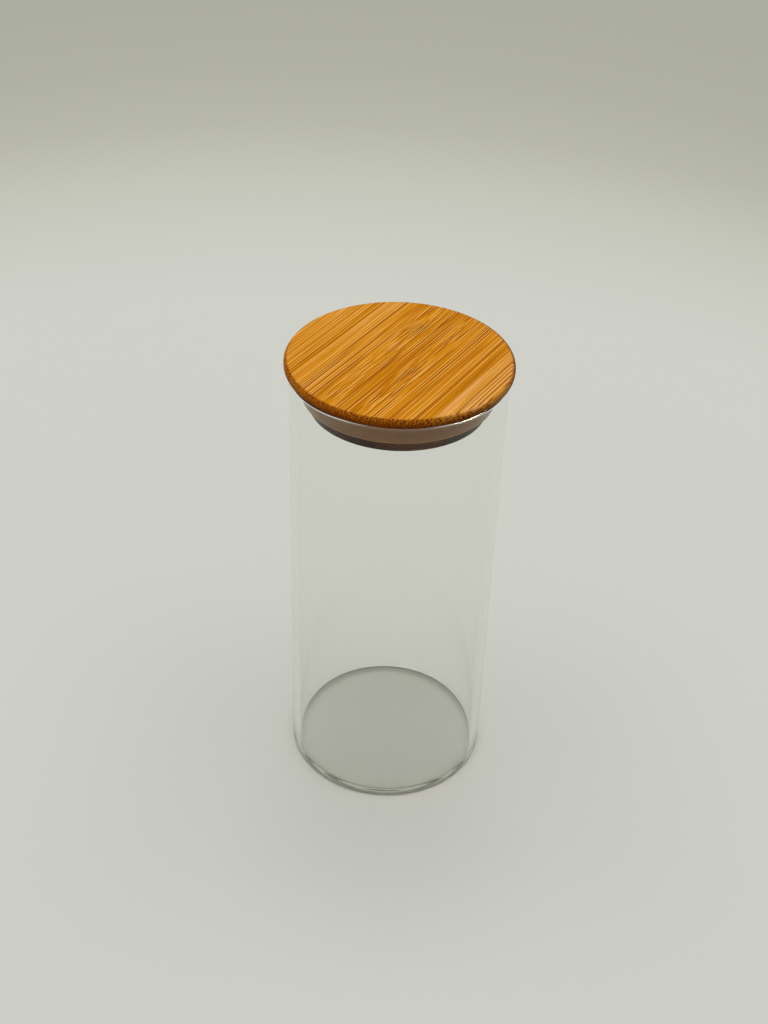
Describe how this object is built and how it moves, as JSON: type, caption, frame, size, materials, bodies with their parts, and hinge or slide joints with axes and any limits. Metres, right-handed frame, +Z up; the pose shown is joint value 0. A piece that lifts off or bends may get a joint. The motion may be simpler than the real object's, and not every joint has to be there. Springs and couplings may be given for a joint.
{
  "type": "storage jar",
  "caption": "Straight-sided clear glass storage jar with a flat bamboo lid: thin round-edged disc, plug underneath and a silicone seal ring that grips the mouth.",
  "frame": {"origin": "centre of the jar's footprint, at the height of the foot ring", "axes": "+Z up the jar's own axis; the jar is round, so X and Y are any two directions across it"},
  "size_m": [0.0886, 0.0886, 0.1981],
  "materials": {
    "glass": "clear and polished",
    "bamboo": "satin, carbonised bamboo strips",
    "silicone": "translucent satin"
  },
  "bodies": {
    "jar": {"glass_jar": "glass"},
    "lid": {"lid_disc": "bamboo", "lid_plug": "bamboo", "seal_ring": "silicone"}
  },
  "joints": [
    {"name": "lid_lift", "type": "slide", "parent": "jar", "child": "lid", "axis": [0, 0, 1], "range_m": [0, 0.1]}
  ]
}
